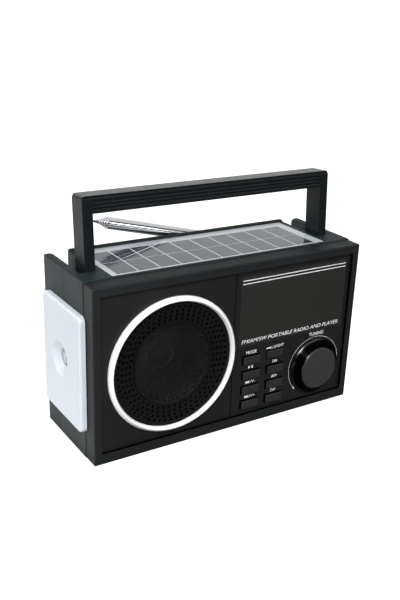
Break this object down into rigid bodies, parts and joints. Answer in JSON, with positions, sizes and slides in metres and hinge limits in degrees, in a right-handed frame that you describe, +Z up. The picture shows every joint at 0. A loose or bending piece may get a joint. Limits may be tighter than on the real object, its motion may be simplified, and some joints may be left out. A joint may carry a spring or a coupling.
{
  "type": "shortwave receiver",
  "caption": "Portable solar shortwave receiver: boxy case with a ringed round grille, dial window, push keys, tuning knob, side lamp, fold-back handle and telescopic aerial.",
  "frame": {"origin": "centre of the case's flat underside", "axes": "+X to the listener's right, +Y from the front to the rear, +Z up"},
  "size_m": [0.204, 0.0831, 0.1605],
  "materials": {
    "case_plastic": "fine spark-eroded grain, greenish charcoal",
    "panel_plastic": "smooth satin, near black",
    "button_plastic": "smooth satin, near black",
    "white_gloss": "high gloss white",
    "knob_gloss": "gloss shoulders with a satin face",
    "grille_black": "satin black",
    "mesh_black": "black woven mesh",
    "window_smoke": "smoked, polished",
    "dial_print": "printed scale",
    "pointer_red": "gloss red",
    "nylon_white": "plain",
    "cord": "twisted dial cord",
    "steel": "bright zinc plated",
    "chrome": "polished",
    "basket_steel": "zinc plated pressing",
    "ferrite": "dark sintered",
    "cone_paper": "pressed black paper",
    "surround_rubber": "soft black rubber",
    "coil_copper": "enamelled copper wire",
    "board_green": "solder mask",
    "component_black": "moulded",
    "litz_wire": "wound litz wire on paper",
    "cell_wrap": "shrink wrap",
    "solar_white": "white board under clear resin",
    "solar_cell": "silicon under clear resin",
    "lamp_milky": "milky translucent",
    "clear_lens": "clear moulded",
    "led_white": "phosphor coated chip"
  },
  "bodies": {
    "root": {"front_cabinet": "case_plastic", "rear_cabinet": "case_plastic", "case_screws": "steel", "speaker_panel": "panel_plastic", "control_panel": "panel_plastic", "display_window": "window_smoke", "speaker_ring": "white_gloss", "speaker_grille": "grille_black", "grille_dome": "mesh_black", "speaker_basket": "basket_steel", "speaker_surround": "surround_rubber", "speaker_spider": "cord", "speaker_magnet": "ferrite", "magnet_plates": "steel", "dial_cord": "cord", "dial_plate": "dial_print", "tuning_capacitor": "nylon_white", "button_board": "board_green", "tact_switches": "component_black", "main_board": "board_green", "board_components": "component_black", "media_sockets": "steel", "charge_jack": "component_black", "ferrite_rod": "ferrite", "ferrite_coil": "litz_wire", "battery_cell": "cell_wrap", "battery_contacts": "steel", "solar_backing": "solar_white", "solar_cells": "solar_cell", "lamp_diffuser": "lamp_milky", "spot_lens": "clear_lens", "lamp_board": "board_green", "lamp_leds": "led_white", "handle_pins": "steel", "aerial_bracket": "steel"},
    "handle": {"handle": "case_plastic"},
    "aerial_fork": {"aerial_knuckle": "chrome"},
    "aerial_outer": {"aerial_tube_1": "chrome"},
    "aerial_second": {"aerial_tube_2": "chrome"},
    "aerial_third": {"aerial_tube_3": "chrome"},
    "aerial_fourth": {"aerial_tube_4": "chrome"},
    "aerial_inner": {"aerial_tip": "chrome"},
    "tuning": {"tuning_knob": "knob_gloss", "tuning_shaft": "steel", "dial_drum": "nylon_white"},
    "idler_left": {"cord_idler_left": "nylon_white"},
    "idler_right": {"cord_idler_right": "nylon_white"},
    "pointer": {"dial_pointer": "pointer_red"},
    "cone": {"speaker_cone": "cone_paper", "speaker_dust_cap": "cone_paper", "voice_coil": "coil_copper"},
    "door": {"battery_door": "case_plastic"},
    "key_mode": {"button_mode": "button_plastic"},
    "key_play": {"button_play": "button_plastic"},
    "key_volume_down": {"button_volume_down": "button_plastic"},
    "key_volume_up": {"button_volume_up": "button_plastic"},
    "key_light": {"button_light": "button_plastic"},
    "key_fm": {"button_fm": "button_plastic"},
    "key_am": {"button_am": "button_plastic"},
    "key_sw": {"button_sw": "button_plastic"}
  },
  "joints": [
    {"name": "handle_fold", "type": "hinge", "parent": "root", "child": "handle", "pos_m": [0, -0.0036, 0.075], "axis": [-1, 0, 0], "range_deg": [0, 86]},
    {"name": "aerial_swivel", "type": "hinge", "parent": "root", "child": "aerial_fork", "pos_m": [0.0752, 0.0396, 0.0964], "axis": [0, 1, 0], "range_deg": [-14.2, 75.8]},
    {"name": "aerial_tilt", "type": "hinge", "parent": "aerial_fork", "child": "aerial_outer", "pos_m": [0.0752, 0.0396, 0.0964], "axis": [0.2453, 0, 0.9694], "range_deg": [-90, 0]},
    {"name": "aerial_section_1", "type": "slide", "parent": "aerial_outer", "child": "aerial_second", "axis": [-0.9694, 0, 0.2453], "range_m": [0, 0.105]},
    {"name": "aerial_section_2", "type": "slide", "parent": "aerial_second", "child": "aerial_third", "axis": [-0.9694, 0, 0.2453], "range_m": [0, 0.105]},
    {"name": "aerial_section_3", "type": "slide", "parent": "aerial_third", "child": "aerial_fourth", "axis": [-0.9694, 0, 0.2453], "range_m": [0, 0.105]},
    {"name": "aerial_section_4", "type": "slide", "parent": "aerial_fourth", "child": "aerial_inner", "axis": [-0.9694, 0, 0.2453], "range_m": [0, 0.105]},
    {"name": "tuning_turn", "type": "hinge", "parent": "root", "child": "tuning", "pos_m": [0.0693, -0.035, 0.0303], "axis": [0, 1, 0], "range_deg": [-90, 90]},
    {"name": "pointer_travel", "type": "slide", "parent": "root", "child": "pointer", "axis": [1, 0, 0], "range_m": [-0.034, 0.034]},
    {"name": "idler_left_turn", "type": "hinge", "parent": "root", "child": "idler_left", "pos_m": [0.007, -0.0276, 0.0548], "axis": [0, 1, 0], "range_deg": [-650, 650]},
    {"name": "idler_right_turn", "type": "hinge", "parent": "root", "child": "idler_right", "pos_m": [0.0895, -0.0276, 0.0548], "axis": [0, 1, 0], "range_deg": [-650, 650]},
    {"name": "cone_travel", "type": "slide", "parent": "root", "child": "cone", "axis": [0, -1, 0], "range_m": [-0.0004, 0.0004], "stiffness_N_per_m": 1500},
    {"name": "door_lift", "type": "slide", "parent": "root", "child": "door", "axis": [0, 1, 0], "range_m": [0, 0.03]},
    {"name": "press_mode", "type": "slide", "parent": "root", "child": "key_mode", "axis": [0, 1, 0], "range_m": [0, 0.0006], "stiffness_N_per_m": 400, "springref_m": -0.001},
    {"name": "press_play", "type": "slide", "parent": "root", "child": "key_play", "axis": [0, 1, 0], "range_m": [0, 0.0006], "stiffness_N_per_m": 400, "springref_m": -0.001},
    {"name": "press_volume_down", "type": "slide", "parent": "root", "child": "key_volume_down", "axis": [0, 1, 0], "range_m": [0, 0.0006], "stiffness_N_per_m": 400, "springref_m": -0.001},
    {"name": "press_volume_up", "type": "slide", "parent": "root", "child": "key_volume_up", "axis": [0, 1, 0], "range_m": [0, 0.0006], "stiffness_N_per_m": 400, "springref_m": -0.001},
    {"name": "press_light", "type": "slide", "parent": "root", "child": "key_light", "axis": [0, 1, 0], "range_m": [0, 0.0006], "stiffness_N_per_m": 400, "springref_m": -0.001},
    {"name": "press_fm", "type": "slide", "parent": "root", "child": "key_fm", "axis": [0, 1, 0], "range_m": [0, 0.0006], "stiffness_N_per_m": 400, "springref_m": -0.001},
    {"name": "press_am", "type": "slide", "parent": "root", "child": "key_am", "axis": [0, 1, 0], "range_m": [0, 0.0006], "stiffness_N_per_m": 400, "springref_m": -0.001},
    {"name": "press_sw", "type": "slide", "parent": "root", "child": "key_sw", "axis": [0, 1, 0], "range_m": [0, 0.0006], "stiffness_N_per_m": 400, "springref_m": -0.001}
  ],
  "couplings": [
    {"joint": "pointer_travel", "follows": "tuning_turn", "m_per_rad": -0.0215},
    {"joint": "idler_left_turn", "follows": "tuning_turn", "ratio": -7.1667},
    {"joint": "idler_right_turn", "follows": "tuning_turn", "ratio": -7.1667}
  ]
}
